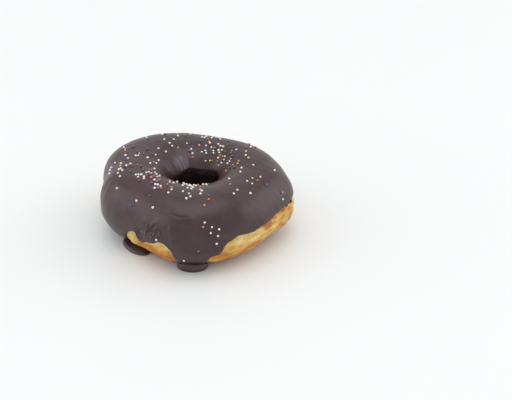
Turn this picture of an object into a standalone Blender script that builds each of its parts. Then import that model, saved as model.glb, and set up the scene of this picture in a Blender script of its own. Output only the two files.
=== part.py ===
"""Sprinkle frosted ring doughnut: a fried yeast ring under a runny chocolate icing.

Lengths are in metres and +Z is up. The doughnut lies on Z = 0 with the middle of its bounding box
over the origin. A bearing is an angle in degrees round the ring, anticlockwise seen from above,
with 0 along +X. A turn is an angle in degrees round the ring's section: 0 at the outermost side,
90 at the crest, 180 at the throat and 270 underneath.
"""
import math
from collections import namedtuple

import bmesh
import bpy

MM = 0.001

# Plan of the iced ring: a slight oval with hand-stretched lobes and flats.
RING_RADIUS = 47.4 * MM
OVAL_SWELL = 3.2 * MM
OVAL_BEARING = 147.0
THROAT_RADIUS = 9.9 * MM
THROAT_OVAL = 1.4 * MM
RING_AXIS = (-0.94 * MM, 1.66 * MM)

# Section of the iced ring: superellipse quarters round a flat foot.
RING_HEIGHT = 36.0 * MM
HEIGHT_WAVE = 0.6 * MM
HEIGHT_WAVE_BEARING = 22.0
CREST_SHARE = 0.52
WIDEST_SHARE = 0.43
OUTER_TUCK = 17.4 * MM
INNER_TUCK = 9.0 * MM
UPPER_POWER = 0.86
LOWER_POWER = 1.07
FOOT_START = -90.0
SKIRT_TURN = -66.0
FOOT_END = 270.0

# The wall of the hole stands back below a lip, which hangs lower on some sides than on others.
LIP_TURN = 151.0
LIP_TURNING = 13.0
HOLLOW = 2.8 * MM
HOLLOW_END = 216.0
HOLLOW_FADE = 26.0

# The icing coats the dough, which stands back by about the icing's depth except where it is bare.
# Over the crest the icing has room for the small round sprinkles that lie half sunk in it.
DOUGH_INSET = 1.4 * MM
BARE_BAND = 6.5 * MM
ICING_DEPTH = 1.8 * MM
SPRINKLE_ROOM = 0.6 * MM
ICING_ROOT = -1.0 * MM
GAP = 0.35 * MM

# The icing's lower edge, above the plate.
EDGE_HEIGHT = 20.5 * MM
EDGE_LOWEST = -1.0 * MM
EDGE_SOFTENING = 4.0
THROAT_EDGE_HEIGHT = 12.0 * MM
THROAT_EDGE_WAVE = 1.5 * MM
THROAT_EDGE_WAVES = 3.0
THROAT_EDGE_SHIFT = 40.0

# Facets.
BEARINGS = 72
EDGE_BEARINGS = 118
CROWD_BEARING = -100.0
CROWDING = 0.30
FOOT_STEPS = 5
SHOULDER_STEPS = 7
THROAT_STEPS = 5
PUDDLE_SIDES = 28
NORMAL_STEP = 0.5

Lump = namedtuple("Lump", "bearing spread swell")
LUMPS = (
    Lump(-159.0, 19.0, 1.7 * MM),
    Lump(-98.0, 24.0, 5.9 * MM),
    Lump(-38.0, 24.0, -3.0 * MM),
    Lump(-12.0, 12.0, 2.4 * MM),
    Lump(61.0, 28.0, -1.7 * MM),
    Lump(132.0, 32.0, 4.4 * MM),
    Lump(172.0, 12.0, -3.4 * MM),
)
TUCK_LUMP = Lump(-93.0, 9.0, 4.0 * MM)
THROAT_LUMP = Lump(-12.0, 28.0, -1.6 * MM)
LIP_SAGS = (
    Lump(104.0, 16.0, -4.0),
    Lump(156.0, 28.0, 6.0),
)

Drip = namedtuple("Drip", "bearing spread drop squareness")
DRIPS = (
    Drip(12.0, 7.0, 1.6 * MM, 2),
    Drip(-3.0, 4.5, 0.9 * MM, 2),
    Drip(56.0, 5.0, 1.3 * MM, 2),
    Drip(-8.0, 16.0, -1.8 * MM, 2),
    Drip(-52.0, 12.0, 1.8 * MM, 2),
    Drip(-71.0, 4.0, 2.0 * MM, 2),
    Drip(-81.0, 7.2, 9.5 * MM, 4),
    Drip(-93.3, 9.0, 20.0 * MM, 6),
    Drip(-102.0, 6.0, 6.0 * MM, 2),
    Drip(-122.0, 7.5, 2.6 * MM, 2),
    Drip(-127.3, 3.6, 3.4 * MM, 6),
    Drip(-124.5, 16.0, 3.4 * MM, 4),
    Drip(-174.0, 33.0, 19.5 * MM, 6),
    Drip(118.0, 11.0, 7.5 * MM, 4),
    Drip(76.0, 14.0, 4.0 * MM, 2),
    Drip(34.0, 9.0, 9.0 * MM, 4),
)

Puddle = namedtuple("Puddle", "bearing reach half_width half_depth depth")
PUDDLES = (
    Puddle(-92.8, 40.3 * MM, 7.6 * MM, 5.8 * MM, 5.0 * MM),
    Puddle(-144.2, 37.0 * MM, 9.6 * MM, 5.2 * MM, 2.4 * MM),
)

# A puddle's rounded rim: share of its outline, share of its depth.
PUDDLE_RIM = ((0.93, 0.0), (1.0, 0.24), (0.96, 0.51), (0.82, 0.76), (0.42, 0.97))

# The ring-shaped tool that trims the icing's lower edge.
BAND_INNER_RADIUS = 28.0 * MM
BAND_OUTER_RADIUS = 62.0 * MM
BAND_BOTTOM = -6.0 * MM

DOUGH_COLOUR = (0.62, 0.36, 0.13, 1.0)
DOUGH_ROUGHNESS = 0.6
ICING_COLOUR = (0.085, 0.050, 0.044, 1.0)
ICING_ROUGHNESS = 0.35
SHARP_ANGLE = 50.0


def clear_scene():
    for item in list(bpy.data.objects):
        bpy.data.objects.remove(item, do_unlink=True)


def between(bearing, other):
    """Signed angle from one bearing to another, -180 to 180."""
    return (bearing - other + 180.0) % 360.0 - 180.0


def smooth_step(value):
    value = min(max(value, 0.0), 1.0)
    return value * value * (3.0 - 2.0 * value)


def signed_power(value, power):
    return math.copysign(abs(value) ** power, value)


def lump_at(bearing, lump):
    return lump.swell * math.exp(-(between(bearing, lump.bearing) / lump.spread) ** 2)


def outer_radius(bearing):
    radius = RING_RADIUS + OVAL_SWELL * math.cos(math.radians(2.0 * (bearing - OVAL_BEARING)))
    return radius + sum(lump_at(bearing, lump) for lump in LUMPS)


def throat_radius(bearing):
    radius = THROAT_RADIUS + THROAT_OVAL * math.cos(math.radians(2.0 * bearing))
    return radius + lump_at(bearing, THROAT_LUMP)


def hollow_at(bearing, turn):
    """How far the wall of the hole stands back at a turn."""
    lip = LIP_TURN + sum(lump_at(bearing, sag) for sag in LIP_SAGS)
    past_lip = smooth_step((turn - lip) / LIP_TURNING)
    return HOLLOW * past_lip * smooth_step((HOLLOW_END - turn) / HOLLOW_FADE)


def height(bearing):
    return RING_HEIGHT + HEIGHT_WAVE * math.cos(math.radians(2.0 * (bearing - HEIGHT_WAVE_BEARING)))


def section(bearing, turn):
    """Radius and height of the iced ring's surface, before any inset."""
    across = math.cos(math.radians(turn))
    upward = math.sin(math.radians(turn))
    outside = outer_radius(bearing)
    throat = throat_radius(bearing)
    top = height(bearing)
    crest = throat + (outside - throat) * CREST_SHARE
    widest = top * WIDEST_SHARE
    if upward >= 0.0:
        half = outside - crest if across >= 0.0 else crest - throat
        radius = crest + half * signed_power(across, UPPER_POWER) + hollow_at(bearing, turn)
        return radius, widest + (top - widest) * abs(upward) ** UPPER_POWER
    if across >= 0.0:
        outer_tuck = OUTER_TUCK + lump_at(bearing, TUCK_LUMP)
        radius = outside - outer_tuck * (1.0 - across ** LOWER_POWER)
    else:
        radius = throat + INNER_TUCK * (1.0 - abs(across) ** LOWER_POWER) + hollow_at(bearing, turn)
    return radius, widest - widest * abs(upward) ** LOWER_POWER


def section_normal(bearing, turn):
    """Unit normal of the section; below the widest level it points sideways, for a flat foot."""
    if turn <= 0.0:
        return 1.0, 0.0
    if turn >= 180.0:
        return -1.0, 0.0
    radius_before, height_before = section(bearing, max(turn - NORMAL_STEP, 0.0))
    radius_after, height_after = section(bearing, min(turn + NORMAL_STEP, 180.0))
    along = math.hypot(radius_after - radius_before, height_after - height_before)
    return (height_after - height_before) / along, (radius_before - radius_after) / along


def throat_turn_at(bearing, level):
    """Turn at which the lower half of the throat passes a level."""
    widest = height(bearing) * WIDEST_SHARE
    share = ((widest - level) / widest) ** (1.0 / LOWER_POWER)
    return 180.0 + math.degrees(math.asin(share))


def edge_height(bearing):
    """Height of the icing's lower edge round the outside."""
    level = EDGE_HEIGHT
    for drip in DRIPS:
        away = abs(between(bearing, drip.bearing)) / drip.spread
        level -= drip.drop * math.exp(-away ** drip.squareness)
    return max(level, EDGE_LOWEST)


def throat_edge_height(bearing):
    wave = math.sin(math.radians(THROAT_EDGE_WAVES * bearing + THROAT_EDGE_SHIFT))
    return THROAT_EDGE_HEIGHT + THROAT_EDGE_WAVE * wave


def bare_top(bearing):
    """Height up to which the dough is bare: the icing's edge, softened along the ring."""
    offsets = (-2.0 * EDGE_SOFTENING, -EDGE_SOFTENING, 0.0, EDGE_SOFTENING, 2.0 * EDGE_SOFTENING)
    return sum(edge_height(bearing + offset) for offset in offsets) / len(offsets)


def dough_inset(bearing, level, outside):
    """How far the dough stands back from the ring's surface: nothing well below the icing."""
    top = bare_top(bearing) if outside else throat_edge_height(bearing)
    return DOUGH_INSET * smooth_step((level - top + BARE_BAND) / BARE_BAND)


def surface_point(bearing, turn, rise):
    """Point of the dough's surface, raised outwards by a distance."""
    radius, level = section(bearing, turn)
    radial, upward = section_normal(bearing, turn)
    offset = rise - dough_inset(bearing, level, outside=turn <= 90.0)
    radius += radial * offset
    level += upward * offset
    angle = math.radians(bearing)
    return (
        RING_AXIS[0] + radius * math.cos(angle),
        RING_AXIS[1] + radius * math.sin(angle),
        level,
    )


def ring_bearings(count, shift=0.0):
    """Bearings round the ring, closer together where the icing's edge turns most sharply."""
    for step in range(count):
        even = 360.0 * (step + shift) / count
        yield even - math.degrees(CROWDING) * math.sin(math.radians(even - CROWD_BEARING))


def steps_between(first, last, count):
    return [first + (last - first) * step / count for step in range(count)]


def object_from(mesh, name):
    """Turn a bmesh into a scene object with its faces pointing out."""
    bmesh.ops.recalc_face_normals(mesh, faces=mesh.faces)
    data = bpy.data.meshes.new(name)
    mesh.to_mesh(data)
    mesh.free()
    piece = bpy.data.objects.new(name, data)
    bpy.context.collection.objects.link(piece)
    return piece


def skin(mesh, ring, following):
    """Triangles between two rings of as many vertices, all split the same way."""
    for index in range(len(ring)):
        after = (index + 1) % len(ring)
        mesh.faces.new((ring[index], following[index], following[after]))
        mesh.faces.new((ring[index], following[after], ring[after]))


def closed_sweep(name, loops):
    """Closed ring of sections, each joined to the next and the last to the first."""
    mesh = bmesh.new()
    rings = [[mesh.verts.new(point) for point in loop] for loop in loops]
    for ring, following in zip(rings, rings[1:] + rings[:1]):
        skin(mesh, ring, following)
    return object_from(mesh, name)


def over_the_top():
    """Turns from the outermost side over the crest to just short of the throat."""
    return steps_between(0.0, 90.0, SHOULDER_STEPS) + steps_between(90.0, 180.0, THROAT_STEPS)


def dough_solid(name, rise=0.0):
    """The ring of dough. A rise grows it all round, and pushes its flat foot down."""
    turns = steps_between(FOOT_START, 0.0, FOOT_STEPS) + over_the_top()
    turns += steps_between(180.0, FOOT_END, FOOT_STEPS) + [FOOT_END]
    loops = []
    for bearing in ring_bearings(BEARINGS):
        loop = [surface_point(bearing, turn, rise) for turn in turns]
        for end in (0, -1):
            across, along, _ = loop[end]
            loop[end] = (across, along, -rise)
        loops.append(loop)
    return closed_sweep(name, loops)


def coat_rise(turn):
    """How far the icing's outer face stands out from the dough."""
    return ICING_DEPTH + SPRINKLE_ROOM * max(math.sin(math.radians(turn)), 0.0)


def icing_loop(bearing):
    """Section of the icing, from close above the plate over the crest into the throat."""
    turns = [SKIRT_TURN] + steps_between(FOOT_START, 0.0, FOOT_STEPS)[2:] + over_the_top()
    turns += [180.0, throat_turn_at(bearing, throat_edge_height(bearing))]
    coat = [surface_point(bearing, turn, coat_rise(turn)) for turn in turns]
    root = [surface_point(bearing, turn, ICING_ROOT) for turn in reversed(turns)]
    return coat + root


def bare_band():
    """Ring that takes the icing away below its wavy lower edge."""
    loops = []
    for bearing in ring_bearings(EDGE_BEARINGS, shift=0.5):
        angle = math.radians(bearing)
        top = edge_height(bearing)
        corners = (
            (BAND_INNER_RADIUS, top),
            (BAND_OUTER_RADIUS, top),
            (BAND_OUTER_RADIUS, BAND_BOTTOM),
            (BAND_INNER_RADIUS, BAND_BOTTOM),
        )
        loops.append([
            (RING_AXIS[0] + radius * math.cos(angle), RING_AXIS[1] + radius * math.sin(angle), level)
            for radius, level in corners
        ])
    return closed_sweep("bare_band", loops)


def puddle_solid(puddle):
    """Flat round-rimmed pool of icing that has run onto the plate."""
    angle = math.radians(puddle.bearing)
    centre = (
        RING_AXIS[0] + puddle.reach * math.cos(angle),
        RING_AXIS[1] + puddle.reach * math.sin(angle),
    )
    mesh = bmesh.new()
    rings = []
    for share, rise in PUDDLE_RIM:
        ring = []
        for side in range(PUDDLE_SIDES):
            around = 2.0 * math.pi * side / PUDDLE_SIDES
            outward = share * puddle.half_depth * math.cos(around)
            sideways = share * puddle.half_width * math.sin(around)
            ring.append(mesh.verts.new((
                centre[0] + outward * math.cos(angle) - sideways * math.sin(angle),
                centre[1] + outward * math.sin(angle) + sideways * math.cos(angle),
                puddle.depth * rise,
            )))
        rings.append(ring)
    for ring, above in zip(rings, rings[1:]):
        skin(mesh, ring, above)
    mesh.faces.new(rings[0])
    mesh.faces.new(rings[-1])
    return object_from(mesh, "puddle")


def combine(piece, tool, operation):
    """Add a Boolean of a tool that is itself left out of the render."""
    tool.hide_render = True
    tool.display_type = "WIRE"
    modifier = piece.modifiers.new(operation.lower(), "BOOLEAN")
    modifier.operation = operation
    modifier.solver = "EXACT"
    modifier.object = tool


def principled(name, colour, roughness):
    material = bpy.data.materials.new(name)
    material.use_nodes = True
    shader = material.node_tree.nodes["Principled BSDF"]
    shader.inputs["Base Color"].default_value = colour
    shader.inputs["Roughness"].default_value = roughness
    shader.inputs["Metallic"].default_value = 0.0
    return material


def finish(piece, material):
    piece.data.materials.append(material)
    piece.data.shade_smooth()
    piece.data.set_sharp_from_angle(angle=math.radians(SHARP_ANGLE))


def build_dough():
    dough = dough_solid("dough_ring")
    finish(dough, principled("fried_dough", DOUGH_COLOUR, DOUGH_ROUGHNESS))


def build_icing():
    loops = [icing_loop(bearing) for bearing in ring_bearings(BEARINGS)]
    icing = closed_sweep("chocolate_icing", loops)
    combine(icing, bare_band(), "DIFFERENCE")
    for puddle in PUDDLES:
        combine(icing, puddle_solid(puddle), "UNION")
    combine(icing, dough_solid("dough_room", rise=GAP), "DIFFERENCE")
    finish(icing, principled("chocolate", ICING_COLOUR, ICING_ROUGHNESS))


clear_scene()
build_dough()
build_icing()
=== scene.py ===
"""Looks of the sprinkle frosted ring doughnut: fried dough, runny chocolate icing, nonpareils.

Lengths named here are in millimetres until a mesh is made. A bearing is an angle in degrees round
the ring, anticlockwise seen from above, with 0 along +X. A turn is an angle in degrees round the
ring's section: 0 at the outermost side, 90 at the crest, 180 at the throat, below 0 underneath.
A rise is a distance out from the iced surface of the ring.
"""

import math
from collections import namedtuple

import bmesh
import bpy
import numpy as np
from mathutils import Matrix, Vector
from mathutils.kdtree import KDTree


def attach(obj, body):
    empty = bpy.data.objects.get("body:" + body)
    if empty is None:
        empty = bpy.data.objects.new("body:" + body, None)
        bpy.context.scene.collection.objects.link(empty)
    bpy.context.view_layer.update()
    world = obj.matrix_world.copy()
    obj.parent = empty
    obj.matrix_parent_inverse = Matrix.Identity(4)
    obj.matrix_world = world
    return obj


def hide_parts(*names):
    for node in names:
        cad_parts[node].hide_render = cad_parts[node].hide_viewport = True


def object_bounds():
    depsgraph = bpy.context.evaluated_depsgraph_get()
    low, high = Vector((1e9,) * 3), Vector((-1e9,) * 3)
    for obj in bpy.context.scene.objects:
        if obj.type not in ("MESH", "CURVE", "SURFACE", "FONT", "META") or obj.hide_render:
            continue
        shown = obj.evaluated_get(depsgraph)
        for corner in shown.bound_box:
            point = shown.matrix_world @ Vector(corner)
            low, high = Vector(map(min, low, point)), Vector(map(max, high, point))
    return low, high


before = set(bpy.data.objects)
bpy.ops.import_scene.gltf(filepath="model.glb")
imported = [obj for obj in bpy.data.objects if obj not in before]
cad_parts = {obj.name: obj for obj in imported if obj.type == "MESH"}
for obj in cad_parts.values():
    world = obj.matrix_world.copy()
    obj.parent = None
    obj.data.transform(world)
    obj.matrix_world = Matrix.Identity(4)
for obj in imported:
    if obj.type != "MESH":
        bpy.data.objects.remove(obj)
cad_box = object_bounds()

MM = 0.001

# Plan and section of the iced ring, as in the part.
RING_RADIUS = 47.4
OVAL_SWELL = 3.2
OVAL_BEARING = 147.0
THROAT_RADIUS = 9.9
THROAT_OVAL = 1.4
RING_AXIS = (-0.94, 1.66)
RING_HEIGHT = 36.0
HEIGHT_WAVE = 0.6
HEIGHT_WAVE_BEARING = 22.0
CREST_SHARE = 0.52
WIDEST_SHARE = 0.43
OUTER_TUCK = 17.4
INNER_TUCK = 9.0
UPPER_POWER = 0.86
LOWER_POWER = 1.07
HOLE_LIP_TURN = 151.0
HOLE_LIP_TURNING = 13.0
HOLE_HOLLOW = 2.8
HOLE_HOLLOW_END = 216.0
HOLE_HOLLOW_FADE = 26.0
FOOT_START = -90.0
FOOT_END = 270.0
NORMAL_STEP = 0.5

Lump = namedtuple("Lump", "bearing spread swell")
LUMPS = (
    Lump(-159.0, 19.0, 1.7),
    Lump(-98.0, 24.0, 5.9),
    Lump(-38.0, 24.0, -3.0),
    Lump(-12.0, 12.0, 2.4),
    Lump(61.0, 28.0, -1.7),
    Lump(132.0, 32.0, 4.4),
    Lump(172.0, 12.0, -3.4),
)
TUCK_LUMP = Lump(-93.0, 9.0, 4.0)
THROAT_LUMP = Lump(-12.0, 28.0, -1.6)
HOLE_LIP_SAGS = (
    Lump(104.0, 16.0, -4.0),
    Lump(156.0, 28.0, 6.0),
)

# The icing's lower edge.
EDGE_HEIGHT = 20.5
LIP_DROP = 0.75
EDGE_LOWEST = 0.35
THROAT_EDGE_HEIGHT = 12.0
THROAT_EDGE_WAVE = 1.5
THROAT_EDGE_WAVES = 3.0
THROAT_EDGE_SHIFT = 40.0

Drip = namedtuple("Drip", "bearing spread drop squareness")
DRIPS = (
    Drip(12.0, 7.0, 1.6, 2),
    Drip(-3.0, 4.5, 0.9, 2),
    Drip(56.0, 5.0, 1.3, 2),
    Drip(-8.0, 16.0, -1.8, 2),
    Drip(-52.0, 12.0, 1.8, 2),
    Drip(-71.0, 4.0, 2.0, 2),
    Drip(-81.0, 7.2, 9.5, 4),
    Drip(-93.3, 9.0, 20.0, 6),
    Drip(-102.0, 6.0, 6.0, 2),
    Drip(-122.0, 7.5, 2.6, 2),
    Drip(-127.3, 3.6, 3.4, 6),
    Drip(-124.5, 16.0, 3.4, 4),
    Drip(-174.0, 33.0, 19.5, 6),
    Drip(118.0, 11.0, 7.5, 4),
    Drip(76.0, 14.0, 4.0, 2),
    Drip(34.0, 9.0, 9.0, 4),
)
Ripple = namedtuple("Ripple", "waves size shift")
EDGE_RIPPLES = (
    Ripple(13.0, 0.16, 20.0),
    Ripple(23.0, 0.13, 130.0),
    Ripple(47.0, 0.08, 250.0),
    Ripple(83.0, 0.06, 70.0),
)

# Waves and marks in the icing's surface.
Wave = namedtuple("Wave", "size length seed")
Patch = namedtuple("Patch", "bearing turn half_bearing half_turn")
BROAD_WAVES = (Wave(0.16, 31.0, 11), Wave(0.07, 12.0, 12))
BROAD_LIMIT = 0.22
FINE_WAVE = Wave(0.018, 4.5, 13)
LEFT_RUNS = Patch(-162.0, 22.0, 22.0, 40.0)
LEFT_RUN_HEIGHT = 0.07
THROAT_PLEATS = Patch(131.0, 143.0, 34.0, 26.0)
PLEAT_HEIGHT = 0.13
# Painted bluish highlight on the throat's left wall, lighter along the pleats.
THROAT_PAINTED_HIGHLIGHT = Patch(119.0, 139.0, 25.0, 19.0)

CREASE_BEARING = -107.0
CREASE_HALF = 8.5
CREASE_TURN = 48.0
CREASE_WAVER = 1.2
CREASE_WIDTH = 1.4
CREASE_DEPTH = 0.42
CREASE_LIP = 0.10
BELOW_CREASE = Patch(-95.5, 38.0, 4.5, 7.0)
BELOW_CREASE_DEPTH = 0.30
# Painted highlight: a light satin band just below the crease.
CREASE_PAINTED_HIGHLIGHT = Patch(-105.5, 37.0, 4.5, 11.0)
CREASE_PAINTED_HIGHLIGHT_SHARE = 0.16

TORN_BEARING = -116.0
TORN = Patch(TORN_BEARING, 14.0, 9.0, 14.0)
TORN_TAIL = Patch(-126.5, 1.0, 4.4, 14.0)
TORN_DEPTH = 0.25
PIT_DEPTH = 0.30
PIT_LENGTH = 2.6
PIT_SEED = 14
PIT_STRETCH = (0.7, 0.7, 1.5)
PIT_WARP = 0.9
PIT_WARP_LENGTH = 4.1
PIT_WARP_SEEDS = (16, 17, 18)
TAIL_HOLLOW = Patch(-126.5, 1.0, 4.2, 13.0)
TAIL_HOLLOW_DEPTH = 0.75
FRONT_RUN = Patch(-91.0, -30.0, 9.0, 32.0)
FRONT_RUN_SWELL = 0.25

# Ridges of the torn patch: two that run across it and two that stand upright at its sides.
CrossRidge = namedtuple("CrossRidge", "height turn slope waver waves width half")
HOOD = CrossRidge(0.35, 26.0, 0.5, 2.5, 40.0, 2.6, 7.0)
FRILL = CrossRidge(0.50, 8.5, 0.95, 1.5, 90.0, 1.7, 5.5)
FRILL_BREAKS = 150.0
# Share of painted glint, a lighter colour along the frill.
FRILL_PAINTED_GLINT = 0.50
SideRidge = namedtuple("SideRidge", "height bearing turn lean width half")
CURL = SideRidge(0.60, -122.3, 5.0, 0.10, 0.75, 6.0)
# Share of painted glint, a lighter colour along the curl.
CURL_PAINTED_GLINT = 0.50
RIM = SideRidge(0.50, -103.8, 18.0, -0.06, 1.1, 12.0)

# Icing and dough.
ICING_DEPTH = 1.4
DEEPEST_RELIEF = -0.9
BARE_BAND = 5.0
BELLY = Lump(-78.0, 24.0, 0.5)
LIP_WIDTH = 1.5
LIP_PROFILE = (
    (0.25, 0.99), (0.48, 0.95), (0.67, 0.87), (0.82, 0.74), (0.93, 0.57),
    (0.99, 0.36), (0.98, 0.15), (0.92, -0.10), (0.84, -0.40),
)
INNER_RISE = -2.0
FRONT_BEARING = -100.0
EDGE_BEARINGS = 9000
COAT_BEARINGS = 560
COAT_STEP = 0.62
COAT_TURNS = (-80.0, 212.0)
SETTLING = 0.3
INNER_BEARINGS = 200
INNER_ROWS = 24
INNER_MARGINS = (4.0, -10.0)
INNER_WINDOW = 9.0
DOUGH_BEARINGS = 420
DOUGH_STEP = 0.75
BELLY_FADE = 30.0
FOOT_FADE = 2.5

# Crust of the dough: folds, waves and browning.
RIGHT_END_BEARING = -14.0
RIGHT_END_HALF = 24.0
RIGHT_END_BROWN = 0.25
# Paler on the flutes' crests and browner in their grooves: partly the crust's own streaks, partly
# painted highlight and shade.
FLUTE_STREAKS_AND_HIGHLIGHT = 0.06
LEFT_END_BEARING = -90.0
LEFT_END_FADE = 9.0
LEFT_END_BROWN = 0.33
PALE_LINE = 0.4
PALE_LINE_FADE = 1.8
TONGUE_BEARING = -124.0
TONGUE_FADE = 14.0
TONGUE_PALING = 0.80
TONGUE_RAGGED = Wave(2.5, 6.0, 28)
PUFFS = (Wave(0.11, 14.0, 21), Wave(0.07, 5.0, 22))
WRINKLES = Wave(0.10, 4.2, 23)
FINE_WRINKLES = Wave(0.05, 2.6, 24)
LONG_STRETCH = (0.30, 0.30, 1.6)
SHORT_STRETCH = (0.6, 0.6, 1.6)
STREAK_STRETCH = (0.30, 0.30, 1.5)
FLUTE_HEIGHT = 0.15
CRUST_SETTLING = 0.22
Band = namedtuple("Band", "share level fade")
STRIP = Band(0.35, 14.2, 4.4)
LOW = Band(0.40, 7.5, 4.5)
FOOT = Band(0.45, 2.2, 1.6)
LEAST_BROWN = 0.13
PALE_SPOT = Patch(-62.0, 3.0, 8.0, 10.0)
PALE_SPOT_SHARE = 0.15
BROWN_SPOT = Patch(-41.0, 4.0, 6.0, 10.0)
BROWN_SPOT_SHARE = 0.70
SPOTS = Wave(0.80, 3.4, 26)
SPOTS_DEPTH = 3.2
SPOTS_FADE = 2.4
BLOTCHES = Wave(0.07, 8.0, 27)
STREAKS = Wave(0.08, 3.6, 25)


def between(bearing, other):
    """Signed angle from one bearing to another, -180 to 180."""
    return (bearing - other + 180.0) % 360.0 - 180.0


def smooth_step(value):
    value = np.clip(value, 0.0, 1.0)
    return value * value * (3.0 - 2.0 * value)


def cosine(degrees):
    return np.cos(np.radians(degrees))


def sine(degrees):
    return np.sin(np.radians(degrees))


def signed_power(value, power):
    return np.copysign(np.abs(value) ** power, value)


def lump_at(bearing, lump):
    return lump.swell * np.exp(-(between(bearing, lump.bearing) / lump.spread) ** 2)


def outer_radius(bearing):
    radius = RING_RADIUS + OVAL_SWELL * cosine(2.0 * (bearing - OVAL_BEARING))
    for lump in LUMPS:
        radius = radius + lump_at(bearing, lump)
    return radius


def height(bearing):
    return RING_HEIGHT + HEIGHT_WAVE * cosine(2.0 * (bearing - HEIGHT_WAVE_BEARING))


def past_lip(bearing, turn):
    """0 above the lip round the hole, 1 below it."""
    lip = HOLE_LIP_TURN + sum(lump_at(bearing, sag) for sag in HOLE_LIP_SAGS)
    return smooth_step((turn - lip) / HOLE_LIP_TURNING)


def section(bearing, turn):
    """Radius and height of the iced ring's smooth surface, with a lip round the hole."""
    across = cosine(turn)
    upward = sine(turn)
    outside = outer_radius(bearing)
    throat = THROAT_RADIUS + THROAT_OVAL * cosine(2.0 * bearing) + lump_at(bearing, THROAT_LUMP)
    top = height(bearing)
    crest = throat + (outside - throat) * CREST_SHARE
    widest = top * WIDEST_SHARE
    half = np.where(across >= 0.0, outside - crest, crest - throat)
    upper_radius = crest + half * signed_power(across, UPPER_POWER)
    upper_height = widest + (top - widest) * np.abs(upward) ** UPPER_POWER
    tuck = np.abs(across) ** LOWER_POWER
    outer_tuck = OUTER_TUCK + lump_at(bearing, TUCK_LUMP)
    lower_radius = np.where(
        across >= 0.0, outside - outer_tuck * (1.0 - tuck), throat + INNER_TUCK * (1.0 - tuck))
    lower_height = widest - widest * np.abs(upward) ** LOWER_POWER
    over = upward >= 0.0
    fading = smooth_step((HOLE_HOLLOW_END - turn) / HOLE_HOLLOW_FADE)
    hollow = HOLE_HOLLOW * past_lip(bearing, turn) * fading
    return (
        np.where(over, upper_radius, lower_radius) + hollow,
        np.where(over, upper_height, lower_height),
    )


def section_normal(bearing, turn):
    """Unit normal of the section; below the widest level it points sideways."""
    held = np.clip(turn, 0.0, 180.0)
    radius_before, height_before = section(bearing, np.maximum(held - NORMAL_STEP, 0.0))
    radius_after, height_after = section(bearing, np.minimum(held + NORMAL_STEP, 180.0))
    along = np.hypot(radius_after - radius_before, height_after - height_before)
    radial = (height_after - height_before) / along
    upward = (radius_before - radius_after) / along
    radial = np.where(turn <= 0.0, 1.0, np.where(turn >= 180.0, -1.0, radial))
    upward = np.where((turn <= 0.0) | (turn >= 180.0), 0.0, upward)
    return radial, upward


def ring_point(bearing, turn, rise):
    """Points of the iced surface, moved out by a rise."""
    radius, level = section(bearing, turn)
    radial, upward = section_normal(bearing, turn)
    radius = radius + radial * rise
    level = level + upward * rise
    return np.stack((
        RING_AXIS[0] + radius * cosine(bearing),
        RING_AXIS[1] + radius * sine(bearing),
        level,
    ), axis=-1)


def outer_turn_at(bearing, level):
    """Turn at which the outer side of the section passes a level."""
    top = height(bearing)
    widest = top * WIDEST_SHARE
    above = np.clip((level - widest) / (top - widest), 0.0, 1.0)
    below = np.clip((widest - level) / widest, 0.0, 1.0)
    upper = np.degrees(np.arcsin(above ** (1.0 / UPPER_POWER)))
    lower = np.degrees(np.arcsin(below ** (1.0 / LOWER_POWER)))
    return np.where(level >= widest, upper, -lower)


def throat_turn_at(bearing, level):
    """Turn at which the lower half of the throat passes a level."""
    widest = height(bearing) * WIDEST_SHARE
    share = np.clip((widest - level) / widest, 0.0, 1.0)
    return 180.0 + np.degrees(np.arcsin(share ** (1.0 / LOWER_POWER)))


def edge_turn(bearing):
    level = EDGE_HEIGHT - LIP_DROP + 0.0 * bearing
    for drip in DRIPS:
        away = np.abs(between(bearing, drip.bearing)) / drip.spread
        level = level - drip.drop * np.exp(-away ** drip.squareness)
    for ripple in EDGE_RIPPLES:
        level = level + ripple.size * sine(ripple.waves * bearing + ripple.shift)
    return outer_turn_at(bearing, np.maximum(level, EDGE_LOWEST))


def throat_edge_turn(bearing):
    level = THROAT_EDGE_HEIGHT + THROAT_EDGE_WAVE * sine(THROAT_EDGE_WAVES * bearing + THROAT_EDGE_SHIFT)
    for ripple in EDGE_RIPPLES[:2]:
        level = level + ripple.size * sine(ripple.waves * bearing + 2.0 * ripple.shift)
    return throat_turn_at(bearing, level)


# ---------------------------------------------------------------- relief of the icing

def wave_noise(points, wavelength, seed, count=14):
    """Smooth noise of about unit size, from plane waves of one wavelength in many directions."""
    source = np.random.default_rng(seed)
    total = np.zeros(points.shape[:-1])
    for _ in range(count):
        direction = source.normal(size=3)
        direction = direction / np.linalg.norm(direction)
        pace = 2.0 * math.pi / wavelength * source.uniform(0.8, 1.25)
        total = total + np.sin(points @ direction * pace + source.uniform(0.0, 2.0 * math.pi))
    return total * math.sqrt(2.0 / count)


def waves(points, wave):
    return wave.size * wave_noise(points, wave.length, wave.seed)


def inside(area, bearing, turn):
    """1 in the middle of a patch of the surface, falling smoothly to 0 at its rim."""
    across = between(bearing, area.bearing) / area.half_bearing
    along = (turn - area.turn) / area.half_turn
    return smooth_step(1.5 - 1.5 * np.hypot(across, along))


def fading_at(away, half, start=1.5):
    """1 near the middle of a stretch, falling smoothly to 0 beyond its half-length."""
    return smooth_step(start - np.abs(away) / half)


def pleats(bearing, turn):
    """Folds down the throat's left wall, about -1 to 1."""
    waver = 30.0 * sine(5.0 * turn + 3.0 * bearing)
    broad = sine(37.0 * bearing + 1.1 * turn + 2.0 * waver)
    narrow = sine(71.0 * bearing - 1.9 * turn + waver)
    return 0.5 * broad + 0.3 * narrow + 0.2 * sine(113.0 * bearing - waver)


def torn_share(bearing, turn):
    return np.maximum(inside(TORN, bearing, turn), inside(TORN_TAIL, bearing, turn))


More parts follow.
